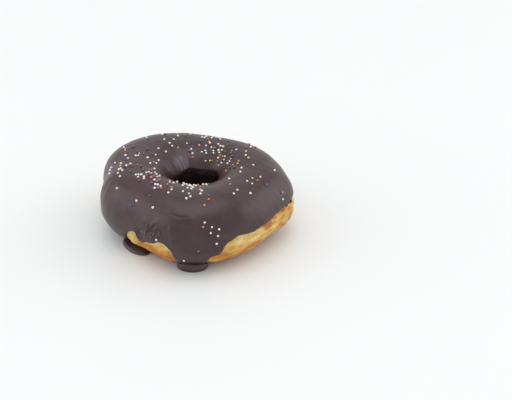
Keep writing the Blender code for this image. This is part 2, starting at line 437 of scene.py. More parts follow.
def cross_ridge(ridge, bearing, turn):
    """Share of a wavering ridge that runs across the torn patch."""
    away = between(bearing, TORN_BEARING)
    middle = ridge.turn + ridge.slope * away + ridge.waver * sine(ridge.waves * away)
    return np.exp(-((turn - middle) / ridge.width) ** 2) * fading_at(away, ridge.half)


def side_ridge(ridge, bearing, turn):
    """Share of a leaning ridge that stands at a side of the torn patch."""
    above = turn - ridge.turn
    away = between(bearing, ridge.bearing) - ridge.lean * above
    return np.exp(-(away / ridge.width) ** 2) * fading_at(above, ridge.half)


def frill(bearing, turn):
    """Share of the broken ridge along the bottom of the torn patch."""
    broken = 0.7 + 0.3 * sine(FRILL_BREAKS * between(bearing, TORN_BEARING))
    return cross_ridge(FRILL, bearing, turn) * broken


def pits(base):
    """Uneven floor of the torn patch, about -1.4 to 1."""
    bend = np.stack([wave_noise(base, PIT_WARP_LENGTH, seed) for seed in PIT_WARP_SEEDS], -1)
    warped = (base + PIT_WARP * bend) * np.array(PIT_STRETCH)
    return np.clip(wave_noise(warped, PIT_LENGTH, PIT_SEED), -1.4, 1.0)


def relief(bearing, turn):
    """How far the icing's surface stands out from the smooth ring."""
    base = ring_point(bearing, turn, 0.0)
    broad = waves(base, BROAD_WAVES[0]) + waves(base, BROAD_WAVES[1])
    total = BROAD_LIMIT * np.tanh(broad / BROAD_LIMIT) + waves(base, FINE_WAVE)
    # Satin runs down the left bulge.
    runs = sine(31.0 * bearing + 5.0 * sine(2.0 * turn)) + 0.6 * sine(53.0 * bearing + 80.0)
    total = total + LEFT_RUN_HEIGHT * runs * inside(LEFT_RUNS, bearing, turn)
    # Pleats on the throat's left wall.
    total = total + PLEAT_HEIGHT * pleats(bearing, turn) * inside(THROAT_PLEATS, bearing, turn)
    # Crease over the front run, with the upper icing lying over the lower.
    offset = (turn - CREASE_TURN - CREASE_WAVER * sine(19.0 * bearing)) / CREASE_WIDTH
    fold = CREASE_LIP * np.exp(-(offset - 1.4) ** 2) - CREASE_DEPTH * np.exp(-offset ** 2)
    total = total + fold * fading_at(between(bearing, CREASE_BEARING), CREASE_HALF, 1.6)
    total = total - BELOW_CREASE_DEPTH * inside(BELOW_CREASE, bearing, turn)
    # Torn, sunken patch above the front left edge, with broken ridges round it.
    total = total - torn_share(bearing, turn) * (TORN_DEPTH - PIT_DEPTH * pits(base))
    total = total + HOOD.height * cross_ridge(HOOD, bearing, turn) + FRILL.height * frill(bearing, turn)
    for ridge in (CURL, RIM):
        total = total + ridge.height * side_ridge(ridge, bearing, turn)
    total = total - TAIL_HOLLOW_DEPTH * inside(TAIL_HOLLOW, bearing, turn)
    # The front run is fuller towards the plate.
    total = total + FRONT_RUN_SWELL * inside(FRONT_RUN, bearing, turn)
    return np.maximum(total, DEEPEST_RELIEF)


def coat_point(bearing, turn, share):
    """Points of the icing: share 1 is its outer face, 0 the dough's face, below 0 inside the dough."""
    outer = relief(bearing, turn)
    return ring_point(bearing, turn, -ICING_DEPTH + share * (ICING_DEPTH + outer))


# ---------------------------------------------------------------- meshes

def even_turns(first, last, step):
    """Turns that are evenly spaced along the section, from first to last."""
    turns = np.arange(first, last + 0.01, 0.25)
    radius, level = section(FRONT_BEARING + 0.0 * turns, turns)
    along = np.concatenate(([0.0], np.cumsum(np.hypot(np.diff(radius), np.diff(level)))))
    count = int(round(along[-1] / step)) + 1
    return np.interp(np.linspace(0.0, along[-1], count), along, turns)


def edge_line(turn_at):
    """Closely spaced bearings and turns along an edge, with a search tree over their places."""
    bearings = np.linspace(-180.0, 180.0, EDGE_BEARINGS, endpoint=False)
    turns = turn_at(bearings)
    places = ring_point(bearings, turns, 0.0)
    tree = KDTree(len(bearings))
    for index, place in enumerate(places):
        tree.insert(place, index)
    tree.balance()
    return bearings, turns, tree


def nearest_on_edge(edge, bearing, turn):
    """Bearing and turn of the nearest place of an edge, and the distance to it."""
    bearings, turns, tree = edge
    found = [tree.find(place)[1:] for place in ring_point(bearing, turn, 0.0)]
    index = np.array([item[0] for item in found], dtype=int)
    away = np.array([item[1] for item in found])
    return bearings[index], turns[index], away


def object_from(name, vertices, faces):
    """Mesh object in metres, smooth-shaded and facing out."""
    data = bpy.data.meshes.new(name)
    data.from_pydata((np.asarray(vertices) * MM).tolist(), [], faces)
    mesh = bmesh.new()
    mesh.from_mesh(data)
    bmesh.ops.recalc_face_normals(mesh, faces=mesh.faces)
    mesh.to_mesh(data)
    mesh.free()
    data.shade_smooth()
    piece = bpy.data.objects.new(name, data)
    bpy.context.collection.objects.link(piece)
    return piece


def note_on(piece, name, values):
    """Keep a number for each vertex, for the material to read."""
    note = piece.data.attributes.new(name, "FLOAT", "POINT")
    note.data.foreach_set("value", np.asarray(values, dtype=np.float32))


def bridge(first, second, places):
    """Triangles between two closed loops of vertex numbers that run the same way round."""
    gaps = np.linalg.norm(places[first] - places[second[0]], axis=1)
    start = int(np.argmin(gaps))
    first = np.roll(first, -start)
    a, b = 0, 0
    triangles = []
    while a < len(first) or b < len(second):
        here, there = first[a % len(first)], second[b % len(second)]
        next_here, next_there = first[(a + 1) % len(first)], second[(b + 1) % len(second)]
        step_first = np.linalg.norm(places[next_here] - places[there])
        step_second = np.linalg.norm(places[next_there] - places[here])
        if b >= len(second) or (a < len(first) and step_first <= step_second):
            triangles.append((here, next_here, there))
            a += 1
        else:
            triangles.append((here, next_there, there))
            b += 1
    return triangles


def boundary_loops(triangles):
    """Closed loops of the edges that belong to only one triangle."""
    edges = np.concatenate((triangles[:, (0, 1)], triangles[:, (1, 2)], triangles[:, (2, 0)]))
    ordered = np.sort(edges, axis=1)
    _, index, count = np.unique(ordered, axis=0, return_index=True, return_counts=True)
    following = dict(edges[index[count == 1]].tolist())
    loops = []
    while following:
        start, here = following.popitem()
        loop = [start]
        while here != start:
            loop.append(here)
            here = following.pop(here)
        loops.append(loop)
    return loops


class Sheet:
    """The icing's outer face: a grid of triangles over bearing and turn, cut along its two edges."""

    def __init__(self, turns, outer_edge, throat_edge):
        self.edges = (outer_edge, throat_edge)
        bearings = np.linspace(-180.0, 180.0, COAT_BEARINGS, endpoint=False)
        grid = np.meshgrid(bearings, turns, indexing="ij")
        self.bearing = grid[0].ravel()
        self.turn = grid[1].ravel()
        self.side = (self.turn > 90.0).astype(int)
        self.depth = self.depth_of(self.bearing, self.turn, self.side)
        self.settle_near_edge()
        self.triangles = self.cut(self.grid_triangles(COAT_BEARINGS, len(turns)))

    def depth_of(self, bearing, turn, side):
        """Distance in from the edge on a vertex's own side, negative beyond it, less the lip."""
        depth = np.full(len(bearing), 99.0)
        for number, edge in enumerate(self.edges):
            mine = side == number
            here_bearing, here_turn = bearing[mine], turn[mine]
            _, _, away = nearest_on_edge(edge, here_bearing, here_turn)
            if number == 0:
                coated = here_turn > edge_turn(here_bearing)
            else:
                coated = here_turn < throat_edge_turn(here_bearing)
            depth[mine] = np.where(coated, away, -away) - LIP_WIDTH
        return depth

    def settle_near_edge(self):
        """Slide the vertices that almost touch the lip's inner line onto it."""
        close = np.flatnonzero(np.abs(self.depth) < SETTLING * COAT_STEP)
        for number, edge in enumerate(self.edges):
            mine = close[self.side[close] == number]
            at_bearing, at_turn, away = nearest_on_edge(edge, self.bearing[mine], self.turn[mine])
            reach = LIP_WIDTH / away
            self.bearing[mine] = at_bearing + between(self.bearing[mine], at_bearing) * reach
            self.turn[mine] = at_turn + (self.turn[mine] - at_turn) * reach
        self.depth[close] = 0.0

    def grid_triangles(self, columns, rows):
        """Triangles of the whole grid, closed round the ring."""
        column, row = np.meshgrid(np.arange(columns), np.arange(rows - 1), indexing="ij")
        after = (column + 1) % columns
        corner = (column * rows + row).ravel()
        above = corner + 1
        beside = (after * rows + row).ravel()
        across = beside + 1
        lower = np.stack((corner, beside, across), axis=1)
        upper = np.stack((corner, across, above), axis=1)
        return np.concatenate((lower, upper))

    def cut(self, triangles):
        """Keep the triangles inside the lip's inner line, and trim those that cross it."""
        kept = (self.depth[triangles] >= 0.0).all(axis=1)
        out = (self.depth[triangles] <= 0.0).all(axis=1)
        crossing = triangles[~kept & ~out]
        result = [triangles[kept & ~out]]
        bearings, turns, sides = self.bearing.tolist(), self.turn.tolist(), self.side.tolist()
        made = {}

        def midway(inner, outer):
            key = (inner, outer)
            if key not in made:
                share = self.depth[outer] / (self.depth[outer] - self.depth[inner])
                swing = between(bearings[inner], bearings[outer])
                made[key] = len(bearings)
                bearings.append(bearings[outer] + swing * share)
                turns.append(turns[outer] + (turns[inner] - turns[outer]) * share)
                sides.append(sides[inner])
            return made[key]

        trimmed = []
        for corners in crossing.tolist():
            outline = []
            for here, after in zip(corners, corners[1:] + corners[:1]):
                if self.depth[here] >= 0.0:
                    outline.append(here)
                if self.depth[here] * self.depth[after] < 0.0:
                    inner, outer = (here, after) if self.depth[here] > 0.0 else (after, here)
                    outline.append(midway(inner, outer))
            for second, third in zip(outline[1:], outline[2:]):
                trimmed.append((outline[0], second, third))
        result.append(np.array(trimmed, dtype=int).reshape(-1, 3))
        self.bearing, self.turn, self.side = np.array(bearings), np.array(turns), np.array(sides)
        return np.concatenate(result)


def build_icing(outer_edge, throat_edge):
    """Closed shell of icing with a rounded lip along both edges."""
    sheet = Sheet(even_turns(*COAT_TURNS, COAT_STEP), outer_edge, throat_edge)
    used = np.unique(sheet.triangles)
    renumber = np.full(len(sheet.bearing), -1)
    renumber[used] = np.arange(len(used))
    triangles = renumber[sheet.triangles]
    bearing, turn, side = sheet.bearing[used], sheet.turn[used], sheet.side[used]
    places = [coat_point(bearing, turn, 1.0)]
    faces = triangles.tolist()
    total = len(used)
    inner_bearings = np.linspace(-180.0, 180.0, INNER_BEARINGS, endpoint=False)
    ends = []
    for loop in boundary_loops(triangles):
        loop = np.array(loop)
        number = int(round(side[loop].mean()))
        edge = (outer_edge, throat_edge)[number]
        if np.sum(between(np.roll(bearing[loop], -1), bearing[loop])) < 0.0:
            loop = loop[::-1]
        at_bearing, at_turn, _ = nearest_on_edge(edge, bearing[loop], turn[loop])
        swing = between(bearing[loop], at_bearing)
        lean = turn[loop] - at_turn
        before = loop
        for reach, share in LIP_PROFILE:
            left = 1.0 - reach
            places.append(coat_point(at_bearing + swing * left, at_turn + lean * left, share))
            ring = np.arange(total, total + len(loop))
            total += len(loop)
            after, following = np.roll(before, -1), np.roll(ring, -1)
            faces += np.stack((before, after, following), axis=1).tolist()
            faces += np.stack((before, following, ring), axis=1).tolist()
            before = ring
        ends.append((number, before))
    ends.sort(key=lambda end: end[0])
    # The inner face, well under the dough's surface.
    window = np.arange(-INNER_WINDOW, INNER_WINDOW + 0.1, 1.5)
    lowest = np.max([edge_turn(inner_bearings + shift) for shift in window], axis=0) + INNER_MARGINS[0]
    highest = throat_edge_turn(inner_bearings) + INNER_MARGINS[1]
    inner_rows = []
    for row in range(INNER_ROWS):
        share = row / (INNER_ROWS - 1.0)
        places.append(ring_point(inner_bearings, lowest + (highest - lowest) * share, INNER_RISE))
        inner_rows.append(np.arange(total, total + INNER_BEARINGS))
        total += INNER_BEARINGS
    for row, above in zip(inner_rows, inner_rows[1:]):
        after, following = np.roll(row, -1), np.roll(above, -1)
        faces += np.stack((row, after, following), axis=1).tolist()
        faces += np.stack((row, following, above), axis=1).tolist()
    places = np.concatenate(places)
    faces += bridge(ends[0][1], inner_rows[0], places)
    faces += bridge(ends[1][1], inner_rows[-1], places)
    piece = object_from("icing", places, faces)
    rest = np.zeros(len(places) - len(used))
    # Painted highlights: the bluish sheen on the throat's left wall, the light band below the crease and
    # glints on the curl and frill.
    painted_highlight = inside(THROAT_PAINTED_HIGHLIGHT, bearing, turn) * (0.62 + 0.24 * pleats(bearing, turn))
    painted_highlight = painted_highlight + CREASE_PAINTED_HIGHLIGHT_SHARE * inside(CREASE_PAINTED_HIGHLIGHT, bearing, turn)
    painted_highlight = painted_highlight + CURL_PAINTED_GLINT * side_ridge(CURL, bearing, turn) + FRILL_PAINTED_GLINT * frill(bearing, turn)
    note_on(piece, "torn", np.concatenate((torn_share(bearing, turn), rest)))
    # Share of painted shade down the hole, below the lip.
    note_on(piece, "painted_hole_shade", np.concatenate((past_lip(bearing, turn), rest)))
    note_on(piece, "painted_highlight", np.concatenate((painted_highlight, rest)))
    return piece


def right_end(bearing):
    return fading_at(between(bearing, RIGHT_END_BEARING), RIGHT_END_HALF, 1.6)


def flutes(bearing, turn):
    """Upright folds of the crust at the right-hand end, about -1 to 1."""
    lean = 7.0 * sine(3.0 * turn + 2.0 * bearing)
    folds = sine(41.0 * bearing + 3.0 * lean) + 0.8 * sine(67.0 * bearing - 4.0 * lean + 40.0)
    return np.tanh(0.8 * folds) * right_end(bearing)


def dough_relief(bearing, turn, base):
    """Fried crust: broad puffs, wrinkles along the ring and upright folds at one end."""
    total = waves(base, PUFFS[0]) + waves(base, PUFFS[1])
    total = total + waves(base * np.array(LONG_STRETCH), WRINKLES)
    total = total + waves(base * np.array(SHORT_STRETCH), FINE_WRINKLES)
    return total + FLUTE_HEIGHT * flutes(bearing, turn) - CRUST_SETTLING


def browned(band, level):
    """Browning that sets in below a level and is full one fade lower."""
    return band.share * smooth_step((band.level - level) / band.fade)


def browning(bearing, turn, below, base):
    """How brown the crust is: 0 for the pale band under the icing, 1 for the fried foot."""
    level = base[:, 2]
    end = right_end(bearing)
    brown = LEAST_BROWN + browned(STRIP, level) * (1.0 - 0.65 * end)
    brown = brown + browned(LOW, level) + browned(FOOT, level)
    past_left = LEFT_END_BEARING - between(bearing, 0.0)
    left_brown = LEFT_END_BROWN * smooth_step((below - PALE_LINE) / PALE_LINE_FADE) - 0.02
    brown = brown + left_brown * smooth_step(past_left / LEFT_END_FADE)
    past_tongue = TONGUE_BEARING - between(bearing, 0.0) + waves(base, TONGUE_RAGGED)
    brown = brown * (1.0 - TONGUE_PALING * smooth_step(past_tongue / TONGUE_FADE))
    brown = brown - PALE_SPOT_SHARE * inside(PALE_SPOT, bearing, turn)
    spots = np.clip(wave_noise(base, SPOTS.length, SPOTS.seed), 0.0, 1.2)
    spots = SPOTS.size * spots * smooth_step((SPOTS_DEPTH - below) / SPOTS_FADE)
    # Right-hand end: paler on the flutes' crests and browner in their grooves, partly streaks and partly
    # painted highlight and shade.
    brown = brown + end * (RIGHT_END_BROWN - FLUTE_STREAKS_AND_HIGHLIGHT * flutes(bearing, turn) + spots)
    brown = brown + BROWN_SPOT_SHARE * inside(BROWN_SPOT, bearing, turn)
    return brown + waves(base, BLOTCHES) + waves(base * np.array(STREAK_STRETCH), STREAKS)


def build_dough(outer_edge, throat_edge):
    """The closed ring of dough, standing back under the icing."""
    turns = even_turns(FOOT_START, FOOT_END, DOUGH_STEP)
    rows = len(turns)
    bearings = np.linspace(-180.0, 180.0, DOUGH_BEARINGS, endpoint=False)
    grid = np.meshgrid(bearings, turns, indexing="ij")
    bearing, turn = grid[0].ravel(), grid[1].ravel()
    below = np.zeros(len(bearing))
    for number, edge in enumerate((outer_edge, throat_edge)):
        mine = (turn > 90.0) if number else (turn <= 90.0)
        _, _, away = nearest_on_edge(edge, bearing[mine], turn[mine])
        if number:
            bare = turn[mine] > throat_edge_turn(bearing[mine])
        else:
            bare = turn[mine] < edge_turn(bearing[mine])
        below[mine] = np.where(bare, away, -away)
    base = ring_point(bearing, turn, 0.0)
    inset = ICING_DEPTH * smooth_step((BARE_BAND - below) / BARE_BAND)
    belly = lump_at(bearing, BELLY) * smooth_step(-turn / BELLY_FADE)
    seen = smooth_step((below + 1.0) / 2.0)
    foot = smooth_step(base[:, 2] / FOOT_FADE)
    rise = (belly + seen * dough_relief(bearing, turn, base)) * foot - inset
    places = ring_point(bearing, turn, rise)
    column, row = np.meshgrid(np.arange(DOUGH_BEARINGS), np.arange(rows), indexing="ij")
    after = (column + 1) % DOUGH_BEARINGS
    upper = (row + 1) % rows
    faces = np.stack([part.ravel() for part in (
        column * rows + row, after * rows + row, after * rows + upper, column * rows + upper)], axis=1)
    places[:, 2] = np.maximum(places[:, 2], 0.0)
    piece = object_from("dough", places, faces.tolist())
    note_on(piece, "browning", browning(bearing, turn, below, base))
    return piece


Puddle = namedtuple("Puddle", "bearing reach half_width half_depth depth")
PUDDLES = (
    Puddle(-92.8, 40.3, 7.6, 5.8, 5.0),
    Puddle(-144.2, 37.0, 9.6, 5.2, 2.4),
)
PUDDLE_RIM = (
    (0.93, 0.00), (0.965, 0.05), (0.988, 0.12), (1.00, 0.21), (0.998, 0.31), (0.985, 0.41),
    (0.96, 0.51), (0.925, 0.60), (0.88, 0.68), (0.82, 0.76), (0.75, 0.83), (0.66, 0.89),
    (0.55, 0.94), (0.42, 0.97), (0.28, 0.99), (0.14, 1.00),
)
PUDDLE_SIDES = 120
PUDDLE_POWER = 0.92
PUDDLE_WAVE = Wave(0.03, 6.0, 31)


def build_puddles():
    """Pools of icing that have run onto the plate, with thick round rims."""
    places, faces = [], []
    for number, puddle in enumerate(PUDDLES):
        start = len(places)
        centre = np.array((
            RING_AXIS[0] + puddle.reach * cosine(puddle.bearing),
            RING_AXIS[1] + puddle.reach * sine(puddle.bearing),
        ))
        outward = np.array((cosine(puddle.bearing), sine(puddle.bearing)))
        sideways = np.array((-outward[1], outward[0]))
        around = np.linspace(0.0, 360.0, PUDDLE_SIDES, endpoint=False)
        waver = 1.0 + 0.012 * sine(3.0 * around + 70.0 * number) + 0.010 * sine(5.0 * around + 40.0)
        out = puddle.half_depth * signed_power(cosine(around), PUDDLE_POWER) * waver
        side = puddle.half_width * signed_power(sine(around), PUDDLE_POWER) * waver
        flat = np.stack((out, side, 0.0 * out), 1)
        for share, rise in PUDDLE_RIM:
            plan = centre + share * (out[:, None] * outward + side[:, None] * sideways)
            level = puddle.depth * rise * (1.0 + waves(flat * share, PUDDLE_WAVE))
            places += np.column_stack((plan, level)).tolist()
        for ring in range(len(PUDDLE_RIM) - 1):
            low = start + ring * PUDDLE_SIDES
            high = low + PUDDLE_SIDES
            for step in range(PUDDLE_SIDES):
                after = (step + 1) % PUDDLE_SIDES
                faces.append((low + step, low + after, high + after, high + step))
        top = start + (len(PUDDLE_RIM) - 1) * PUDDLE_SIDES
        faces.append(tuple(range(start, start + PUDDLE_SIDES)))
        places.append((centre[0], centre[1], puddle.depth))
        for step in range(PUDDLE_SIDES):
            faces.append((top + step, top + (step + 1) % PUDDLE_SIDES, len(places) - 1))
    return object_from("icing_puddles", places, faces)


Tear = namedtuple("Tear", "bearing turn half_bearing half_turn")
TEARS = (
    Tear(-15.8, 11.4, 0.75, 3.4), Tear(-18.9, 12.6, 0.95, 2.0), Tear(-21.0, 11.2, 0.60, 2.6),
    Tear(-27.4, 11.8, 1.00, 2.3), Tear(-34.6, 10.6, 0.90, 1.6),
)
TEAR_SUNK = -0.95
TEAR_THICKNESS = 0.8


def build_tears():
    """Short runs of icing below the edge at the right-hand end."""
    unit, unit_faces = ball()
    places, faces = [], []
    for tear in TEARS:
        bearing = tear.bearing + tear.half_bearing * unit[:, 0] * (1.0 + 0.3 * unit[:, 1])
        turn = tear.turn + tear.half_turn * unit[:, 1]
        faces.append(unit_faces + sum(len(part) for part in places))
        places.append(ring_point(bearing, turn, TEAR_SUNK + TEAR_THICKNESS * unit[:, 2]))
    return object_from("icing_tears", np.concatenate(places), np.concatenate(faces).tolist())


# ---------------------------------------------------------------- nonpareils

Scatter = namedtuple("Scatter", "bearing turn half_bearing half_turn count")
SCATTERS = (
    Scatter(-162.0, 92.0, 19.0, 30.0, 26),
    Scatter(-138.0, 92.0, 19.0, 15.0, 24),
    Scatter(-100.0, 104.0, 26.0, 14.0, 16),
    Scatter(-89.0, 116.0, 19.0, 3.0, 12),
    Scatter(-97.0, 82.0, 18.0, 8.0, 4),
    Scatter(-30.0, 86.0, 24.0, 26.0, 10),
    Scatter(14.0, 110.0, 26.0, 24.0, 20),
    Scatter(48.0, 108.0, 24.0, 30.0, 26),
    Scatter(93.0, 98.0, 32.0, 26.0, 34),
    Scatter(146.0, 96.0, 20.0, 30.0, 16),
    Scatter(172.0, 84.0, 14.0, 40.0, 18),
)
COLOUR_SHARES = (
    ("white", 0.57), ("pink", 0.06), ("red", 0.03), ("orange", 0.09),
    ("yellow", 0.06), ("green", 0.06), ("blue", 0.07), ("purple", 0.06),
)
Sprinkle = namedtuple("Sprinkle", "colour bearing turn")
PLACED = (
    Sprinkle("white", -154, 49), Sprinkle("blue", -137, 36), Sprinkle("white", -134, 46),
    Sprinkle("white", -119, 48), Sprinkle("white", -168, 66), Sprinkle("yellow", -141, 102),
    Sprinkle("blue", -126, 63), Sprinkle("green", -125, 7), Sprinkle("white", -113, 6),
    Sprinkle("white", -113, 82), Sprinkle("white", -97, 80), Sprinkle("white", -94, 84),
    Sprinkle("orange", -84, 66), Sprinkle("orange", -80, 76), Sprinkle("white", -85, 39),
    Sprinkle("white", -81, 31), Sprinkle("white", -77, 26), Sprinkle("white", -82, 23),
    Sprinkle("white", -78, 17), Sprinkle("white", -79, 7), Sprinkle("pink", -86, 33),
    Sprinkle("pink", -89, 1), Sprinkle("red", -75, 1), Sprinkle("white", -59, 74),
    Sprinkle("white", -38, 83), Sprinkle("white", -25, 25), Sprinkle("pink", -23, 34),
    Sprinkle("blue", -29, 59), Sprinkle("orange", -31, 74), Sprinkle("white", -25, 76),
    Sprinkle("yellow", 55, 135), Sprinkle("yellow", 30, 139), Sprinkle("blue", 31, 129),
    Sprinkle("orange", 28, 68), Sprinkle("orange", 35, 69), Sprinkle("pink", 94, 131),
    Sprinkle("white", -97, -24),
)
SPRINKLE_RADIUS = 0.55
SPRINKLE_SIZES = (0.88, 1.12)
SPRINKLE_STRETCH = 0.06
SPRINKLE_DENTS = 0.02
SPRINKLE_STANDING = (0.25, 0.55)
SPREAD_SEED = 407
SHAPE_SEED = 52


def scattered():
    """Sprinkles of each named patch, kept clear of one another and of those listed one by one."""
    source = np.random.default_rng(SPREAD_SEED)
    names = [name for name, _ in COLOUR_SHARES]
    shares = np.array([share for _, share in COLOUR_SHARES])
    taken = [ring_point(np.float64(item.bearing), np.float64(item.turn), 0.0) for item in PLACED]
    chosen = list(PLACED)
    for area in SCATTERS:
        made = 0
        while made < area.count:
            bearing = area.bearing + area.half_bearing * source.uniform(-1.0, 1.0)
            turn = area.turn + area.half_turn * source.uniform(-1.0, 1.0)
            colour = source.choice(names, p=shares / shares.sum())
            place = ring_point(np.float64(bearing), np.float64(turn), 0.0)
            if min(np.linalg.norm(place - other) for other in taken) < 2.0 * SPRINKLE_RADIUS:
                continue
            taken.append(place)
            chosen.append(Sprinkle(str(colour), bearing, turn))
            made += 1
    return chosen


def ball():
    """Vertices and triangles of a small unit ball."""
    mesh = bmesh.new()
    bmesh.ops.create_icosphere(mesh, subdivisions=3, radius=1.0)
    vertices = np.array([tuple(vertex.co) for vertex in mesh.verts])
    faces = np.array([[vertex.index for vertex in face.verts] for face in mesh.faces])
    mesh.free()
    return vertices, faces


def kept_in_box(places):
    """A ball's vertices, pushed deeper where it would stand out of the part's box."""
    low, high = (np.array(corner) / MM for corner in cad_box)
    over = np.maximum(places.max(axis=0) - high, 0.0)
    under = np.maximum(low - places.min(axis=0), 0.0)
    return places - over + under


def build_sprinkles():
    """One piece for each colour, of slightly uneven balls sunk into the icing."""
    source = np.random.default_rng(SHAPE_SEED)
    unit, unit_faces = ball()
    pieces = {}
    chosen = scattered()
    for name, _ in COLOUR_SHARES:
        places, faces, tones = [], [], []
        for item in (one for one in chosen if one.colour == name):
            bearing, turn = np.float64(item.bearing), np.float64(item.turn)
            size = SPRINKLE_RADIUS * source.uniform(*SPRINKLE_SIZES)
            stretch = 1.0 + source.uniform(-SPRINKLE_STRETCH, SPRINKLE_STRETCH, 3)
            dents = 1.0 + SPRINKLE_DENTS * wave_noise(unit, 1.1, int(source.integers(1000)))
            standing = relief(bearing, turn) + size * source.uniform(*SPRINKLE_STANDING)
            middle = ring_point(bearing, turn, standing)
            angle = source.uniform(0.0, 6.28)
            turned = np.array(Matrix.Rotation(angle, 3, Vector(source.normal(size=3))))
            shape = (unit * dents[:, None] * stretch) @ turned.T
            faces.append(unit_faces + sum(len(part) for part in places))
            places.append(kept_in_box(middle + size * shape))
            tones.append(np.full(len(unit), source.uniform()))
        piece = object_from(name + "_sprinkles", np.concatenate(places), np.concatenate(faces).tolist())
        note_on(piece, "tone", np.concatenate(tones))
        pieces[name] = piece
    return pieces


# ---------------------------------------------------------------- materials

class Look:
    """A Principled material and short ways to add nodes to it."""

    def __init__(self, name):
        self.material = bpy.data.materials.new(name)
        self.material.use_nodes = True
        self.nodes = self.material.node_tree.nodes
        self.links = self.material.node_tree.links
        self.shader = self.nodes["Principled BSDF"]
        self.place = self.nodes.new("ShaderNodeTexCoord").outputs["Object"]

    def join(self, value, socket):
        if isinstance(value, bpy.types.NodeSocket):
            self.links.new(value, socket)
        else:
            socket.default_value = value

    def stretched(self, scale):
        node = self.nodes.new("ShaderNodeMapping")
        node.inputs["Scale"].default_value = scale
        self.links.new(self.place, node.inputs["Vector"])
        return node.outputs["Vector"]

    def noise(self, scale, detail=2.0, roughness=0.5, place=None):
        node = self.nodes.new("ShaderNodeTexNoise")
        node.inputs["Scale"].default_value = scale
        node.inputs["Detail"].default_value = detail
        node.inputs["Roughness"].default_value = roughness
        self.links.new(place or self.place, node.inputs["Vector"])
        return node.outputs["Fac"]

    def spread(self, value, low, high, to_low=0.0, to_high=1.0):
        node = self.nodes.new("ShaderNodeMapRange")
        node.interpolation_type = "SMOOTHSTEP"
        self.join(value, node.inputs["Value"])
        node.inputs["From Min"].default_value = low
        node.inputs["From Max"].default_value = high
        node.inputs["To Min"].default_value = to_low
        node.inputs["To Max"].default_value = to_high
        return node.outputs["Result"]

    def sum(self, first, second, operation="ADD"):
        node = self.nodes.new("ShaderNodeMath")
        node.operation = operation
        self.join(first, node.inputs[0])
        self.join(second, node.inputs[1])
        return node.outputs["Value"]

    def scaled(self, value, share):
        return self.sum(value, share, "MULTIPLY")

    def mix(self, share, first, second):
        node = self.nodes.new("ShaderNodeMix")
        node.data_type = "RGBA"
        self.join(share, node.inputs["Factor"])
        for name, colour in (("A", first), ("B", second)):
            socket = next(one for one in node.inputs if one.name == name and one.type == "RGBA")
            self.join(colour, socket)
        return next(one for one in node.outputs if one.type == "RGBA")

    def attribute(self, name):
        node = self.nodes.new("ShaderNodeAttribute")
        node.attribute_name = name
        return node.outputs["Fac"]

    def bump(self, value, distance):
        node = self.nodes.new("ShaderNodeBump")
        node.inputs["Strength"].default_value = 1.0
        node.inputs["Distance"].default_value = distance
        self.links.new(value, node.inputs["Height"])
        self.links.new(node.outputs["Normal"], self.shader.inputs["Normal"])

    def set(self, **sockets):
        for name, value in sockets.items():
            self.join(value, self.shader.inputs[name.replace("_", " ")])
        return self.material


ICING_DARK = (0.032, 0.0105, 0.0135)
ICING_PALE = (0.051, 0.0205, 0.0235)
ICING_MOTTLE = (0.066, 0.035, 0.037, 1.0)
# Darker, redder colour of the torn patch and its hollow tail: the torn icing's own tone, and painted
# shade in its pits and the hollow.
ICING_TORN_TONE_AND_SHADE = (0.026, 0.004, 0.006, 1.0)
# Painted highlight colour, a pale bluish grey.
ICING_PAINTED_HIGHLIGHT = (0.148, 0.135, 0.152, 1.0)
# Near-black painted shade for the hole below the lip.
ICING_PAINTED_HOLE_SHADE = (0.006, 0.002, 0.002, 1.0)
ICING_IOR = 1.52
ICING_BUMP = 0.00016
# Painted light: the icing of the puddles and tears is made paler by this much, standing in for light on
# the puddles' shaded tops.
PUDDLE_PAINTED_LIGHT = 0.012


def with_painted_light(colour, painted_light):
    return tuple(channel + painted_light for channel in colour) + (1.0,)


def icing_look(name, painted_light):
    """Satin chocolate icing, clouded and mottled, with painted highlights, painted shade down the hole
    and a darker torn patch; a share of painted light makes it a little paler.
    """
    look = Look(name)
    bloom = look.noise(90.0, 3.0, 0.6)
    mottle = look.noise(420.0, 3.0, 0.6)
    torn = look.attribute("torn")
    colour = look.mix(look.spread(bloom, 0.35, 0.68), with_painted_light(ICING_DARK, painted_light), with_painted_light(ICING_PALE, painted_light))
    colour = look.mix(look.spread(mottle, 0.55, 0.75, 0.0, 0.35), colour, ICING_MOTTLE)
    # Torn patch darker and redder: its own tone, and painted shade in the pits and the hollow.
    colour = look.mix(look.spread(torn, 0.05, 0.6, 0.0, 0.9), colour, ICING_TORN_TONE_AND_SHADE)
    # Painted highlights mixed into the icing's colour.
    colour = look.mix(look.spread(look.attribute("painted_highlight"), 0.05, 0.9, 0.0, 0.8), colour, ICING_PAINTED_HIGHLIGHT)
    # Painted shade down the hole, below the lip.
    colour = look.mix(look.spread(look.attribute("painted_hole_shade"), 0.2, 1.0, 0.0, 0.85), colour, ICING_PAINTED_HOLE_SHADE)
    clouds = look.sum(look.scaled(bloom, 0.6), look.scaled(mottle, 0.4))
    sheen = look.spread(clouds, 0.35, 0.65, 0.29, 0.42)
    sheen = look.sum(sheen, look.spread(torn, 0.1, 0.8, 0.0, -0.16))
    fine = look.noise(900.0, 4.0, 0.55)
    soft = look.noise(260.0, 2.0, 0.5)
    crinkles = look.sum(look.noise(640.0, 3.0, 0.6), look.spread(torn, 0.2, 0.9, 0.0, 2.6), "MULTIPLY")
    look.bump(look.sum(crinkles, look.sum(look.scaled(fine, 0.35), soft)), ICING_BUMP)
    return look.set(Base_Color=colour, Roughness=sheen, IOR=ICING_IOR)


